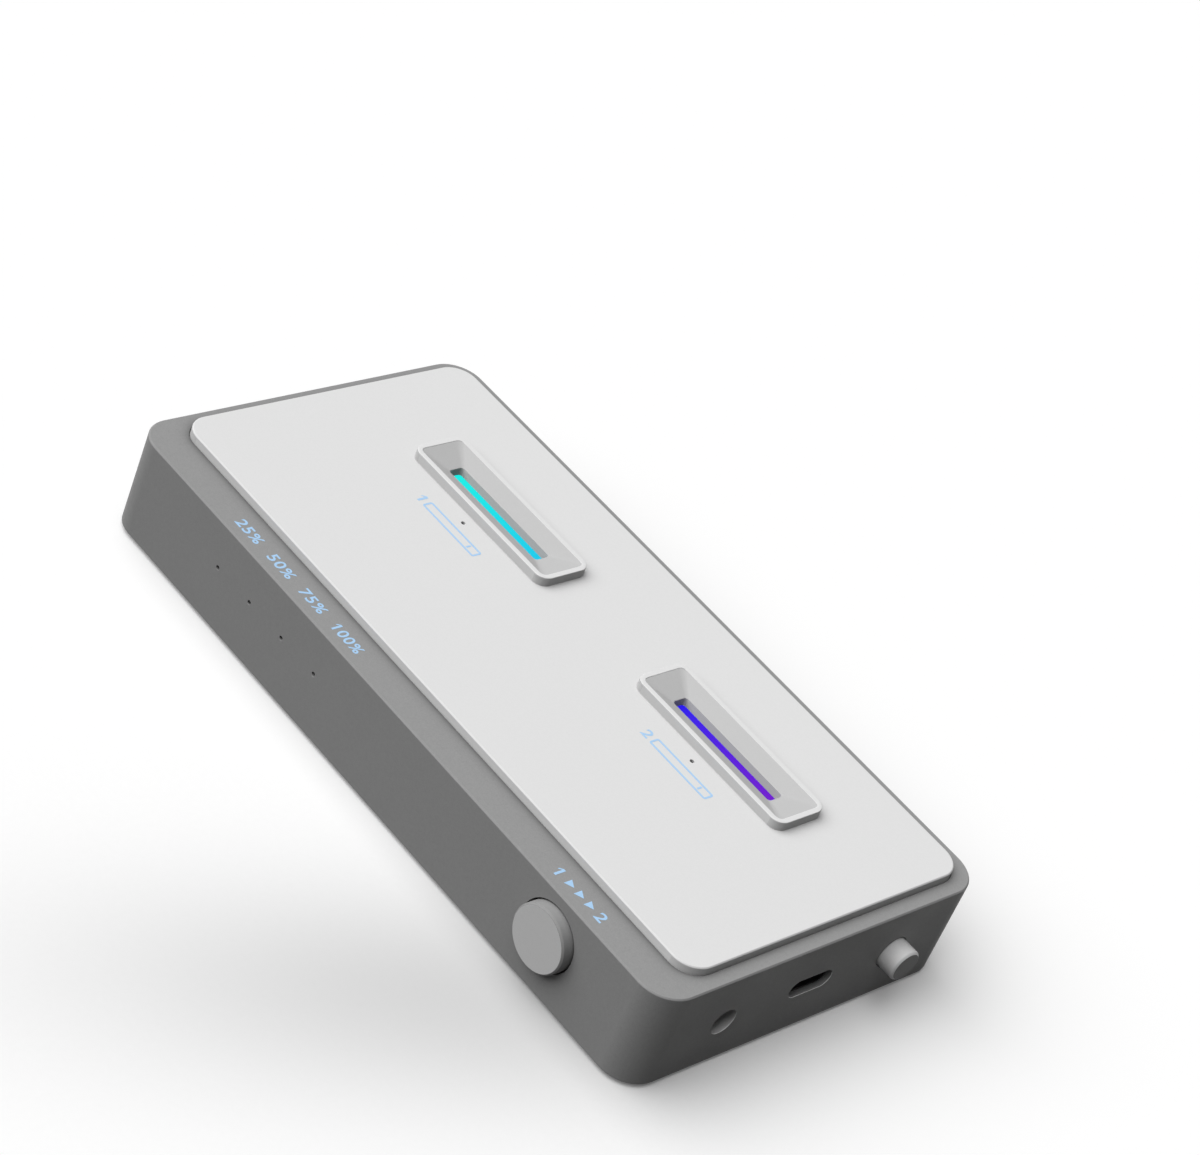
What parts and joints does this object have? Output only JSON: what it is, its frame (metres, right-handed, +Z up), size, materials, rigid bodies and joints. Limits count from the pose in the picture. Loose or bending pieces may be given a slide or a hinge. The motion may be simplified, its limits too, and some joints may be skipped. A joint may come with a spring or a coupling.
{
  "type": "ssd docking station",
  "caption": "Flat box that takes bare M.2 SSD cards upright in funnel-shaped lit slots, with a round copy button, a power button, a USB-C port and a power inlet.",
  "frame": {"origin": "on the table, under the middle of the whole box with its buttons", "axes": "+X along the length towards the ports, +Y across the width away from the round copy button, +Z up out of the slots"},
  "size_m": [0.1434, 0.074, 0.0225],
  "materials": {
    "casing_grey": "matte, fine grained",
    "plate_light_grey": "satin",
    "bezel_light_grey": "satin",
    "button_grey": "satin",
    "power_button_grey": "satin",
    "source_glow": "frosted, lit from inside",
    "target_glow": "frosted, lit from inside",
    "light_pipe": "clear",
    "led_white": "moulded",
    "board_green": "solder mask",
    "chip_black": "moulded",
    "socket_black": "moulded",
    "plunger_white": "moulded",
    "contact_gold": "plated",
    "steel": "drawn",
    "pin_nickel": "plated",
    "can_metal": "brushed",
    "ferrite": "sintered",
    "foot_rubber": "matte"
  },
  "bodies": {
    "casing": {"bottom_cover": "casing_grey", "bridge_chips": "chip_black", "capacitors": "can_metal", "case_screws": "steel", "case_shell": "casing_grey", "clone_switch_body": "socket_black", "clone_switch_dome": "steel", "controller_chip": "chip_black", "crystals": "can_metal", "dc_jack_body": "socket_black", "dc_jack_contact": "steel", "dc_jack_pin": "pin_nickel", "flash_chip": "chip_black", "inductors": "ferrite", "main_board": "board_green", "power_switch_body": "socket_black", "power_switch_spring": "steel", "progress_leds": "led_white", "progress_light_pipes": "light_pipe", "rubber_feet": "foot_rubber", "slot_leds": "led_white", "slot_light_pipes": "light_pipe", "source_light_guide": "source_glow", "source_m2_contacts": "contact_gold", "source_m2_socket": "socket_black", "source_rgb_leds": "led_white", "source_slot_bezel": "bezel_light_grey", "target_light_guide": "target_glow", "target_m2_contacts": "contact_gold", "target_m2_socket": "socket_black", "target_rgb_leds": "led_white", "target_slot_bezel": "bezel_light_grey", "top_plate": "plate_light_grey", "usb_c_shell": "steel", "usb_c_tongue": "socket_black"},
    "clone_button": {"clone_button_cap": "button_grey", "clone_switch_plunger": "plunger_white"},
    "power_button": {"power_button_cap": "power_button_grey", "power_switch_plunger": "plunger_white"}
  },
  "joints": [
    {"name": "clone_button_press", "type": "slide", "parent": "casing", "child": "clone_button", "axis": [0, 1, 0], "range_m": [0, 0.0005], "stiffness_N_per_m": 800, "springref_m": -0.001, "deforming": ["clone_switch_dome"]},
    {"name": "power_button_press", "type": "slide", "parent": "casing", "child": "power_button", "axis": [-1, 0, 0], "range_m": [0, 0.002], "stiffness_N_per_m": 500, "springref_m": -0.002, "deforming": ["power_switch_spring"]}
  ]
}
